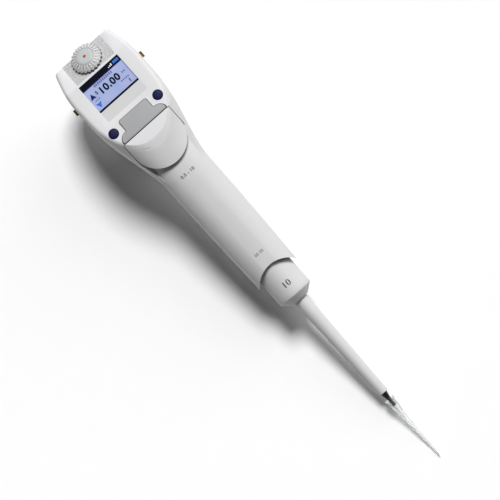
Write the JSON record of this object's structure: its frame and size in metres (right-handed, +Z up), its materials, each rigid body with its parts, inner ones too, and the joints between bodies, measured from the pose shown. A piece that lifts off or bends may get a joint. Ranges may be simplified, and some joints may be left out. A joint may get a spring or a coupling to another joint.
{
  "type": "electronic pipette",
  "caption": "Hand-held electronic pipette with a selector dial, colour display, rocker key, thumb ejector, slim tip cone and a clear tip.",
  "frame": {"origin": "centre of the bounding box on the surface that the pipette lies on", "axes": "+Y from the tip end towards the head, +X across, +Z up; the pipette lies on its back on its heel and the end of its tip, front up"},
  "size_m": [0.0468, 0.2788, 0.0515],
  "materials": {
    "white_plastic": "satin moulded",
    "grey_plastic": "fine moulded texture",
    "key_grey": "soft touch",
    "navy_plastic": "satin",
    "silver_foil": "metallic lacquer",
    "dark_polymer": "polished engineering polymer",
    "clear_polymer": "clear polypropylene",
    "display_glass": "lit display under a clear window",
    "board_green": "solder resist",
    "black_plastic": "moulded",
    "steel": "bright",
    "gold_contact": "gold plated",
    "battery_wrap": "shrink film",
    "seal_rubber": "moulded",
    "aluminium": "machined"
  },
  "bodies": {
    "housing": {"front_cover": "grey_plastic", "rear_housing": "grey_plastic", "face_bezel": "white_plastic", "finger_hook": "grey_plastic", "housing_screws": "steel", "display_window": "display_glass", "display_module": "black_plastic", "display_strip": "silver_foil", "dial_panel": "silver_foil", "dial_encoder": "black_plastic", "rocker_pin": "steel", "pin_brackets": "steel", "circuit_board": "board_green", "key_switches": "black_plastic", "buzzer": "black_plastic", "battery": "battery_wrap", "battery_tray": "black_plastic", "battery_contacts": "gold_contact", "left_charge_contact": "gold_contact", "right_charge_contact": "gold_contact", "tip_cone": "dark_polymer", "piston_seal": "seal_rubber", "motor_case": "steel", "motor_bearings": "aluminium", "chassis": "aluminium"},
    "battery_door": {"battery_cover": "grey_plastic"},
    "dial": {"selector_dial": "white_plastic"},
    "left_key": {"left_soft_key": "navy_plastic"},
    "right_key": {"right_soft_key": "navy_plastic"},
    "rocker": {"rocker_key": "key_grey"},
    "ejector": {"ejector_button": "grey_plastic", "ejector_crest": "white_plastic", "ejector_rod": "steel", "ejector_collar": "grey_plastic", "ejector_sleeve": "grey_plastic", "ejector_spring": "steel"},
    "tip": {"pipette_tip": "clear_polymer"},
    "screw": {"lead_screw": "steel", "motor_rotor": "black_plastic"},
    "piston_drive": {"piston": "steel", "piston_plate": "steel", "piston_spring": "steel", "push_rod": "aluminium", "drive_nut": "dark_polymer"}
  },
  "joints": [
    {"name": "dial_turn", "type": "hinge", "parent": "housing", "child": "dial", "pos_m": [0, 0.13072, 0.04478], "axis": [0, 0.3729, 0.9279], "continuous": true},
    {"name": "left_key_press", "type": "slide", "parent": "housing", "child": "left_key", "axis": [0, -0.0679, -0.9977], "range_m": [0, 0.0006], "stiffness_N_per_m": 800},
    {"name": "right_key_press", "type": "slide", "parent": "housing", "child": "right_key", "axis": [0, -0.0679, -0.9977], "range_m": [0, 0.0006], "stiffness_N_per_m": 800},
    {"name": "rocker_tilt", "type": "hinge", "parent": "housing", "child": "rocker", "pos_m": [0, 0.08759, 0.04686], "axis": [1, 0, 0], "range_deg": [-3, 3], "stiffness_Nm_per_rad": 0.5},
    {"name": "ejector_press", "type": "slide", "parent": "housing", "child": "ejector", "axis": [0, -0.9874, -0.1583], "range_m": [0, 0.009], "stiffness_N_per_m": 400, "deforming": ["ejector_spring"]},
    {"name": "tip_off", "type": "slide", "parent": "housing", "child": "tip", "axis": [0, -0.9874, -0.1583], "range_m": [0, 0.0051]},
    {"name": "screw_turn", "type": "hinge", "parent": "housing", "child": "screw", "pos_m": [0, 0.04831, 0.03048], "axis": [0, 0.9874, 0.1583], "range_deg": [0, 3605]},
    {"name": "piston_travel", "type": "slide", "parent": "housing", "child": "piston_drive", "axis": [0, 0.9874, 0.1583], "range_m": [0, 0.0127], "deforming": ["piston_spring"]},
    {"name": "battery_door_slide", "type": "slide", "parent": "housing", "child": "battery_door", "axis": [0, 0.9874, 0.1583], "range_m": [0, 0.04]}
  ],
  "couplings": [
    {"joint": "tip_off", "follows": "ejector_press", "ratio": 0.56},
    {"joint": "screw_turn", "follows": "piston_travel", "rad_per_m": 4947.4}
  ]
}
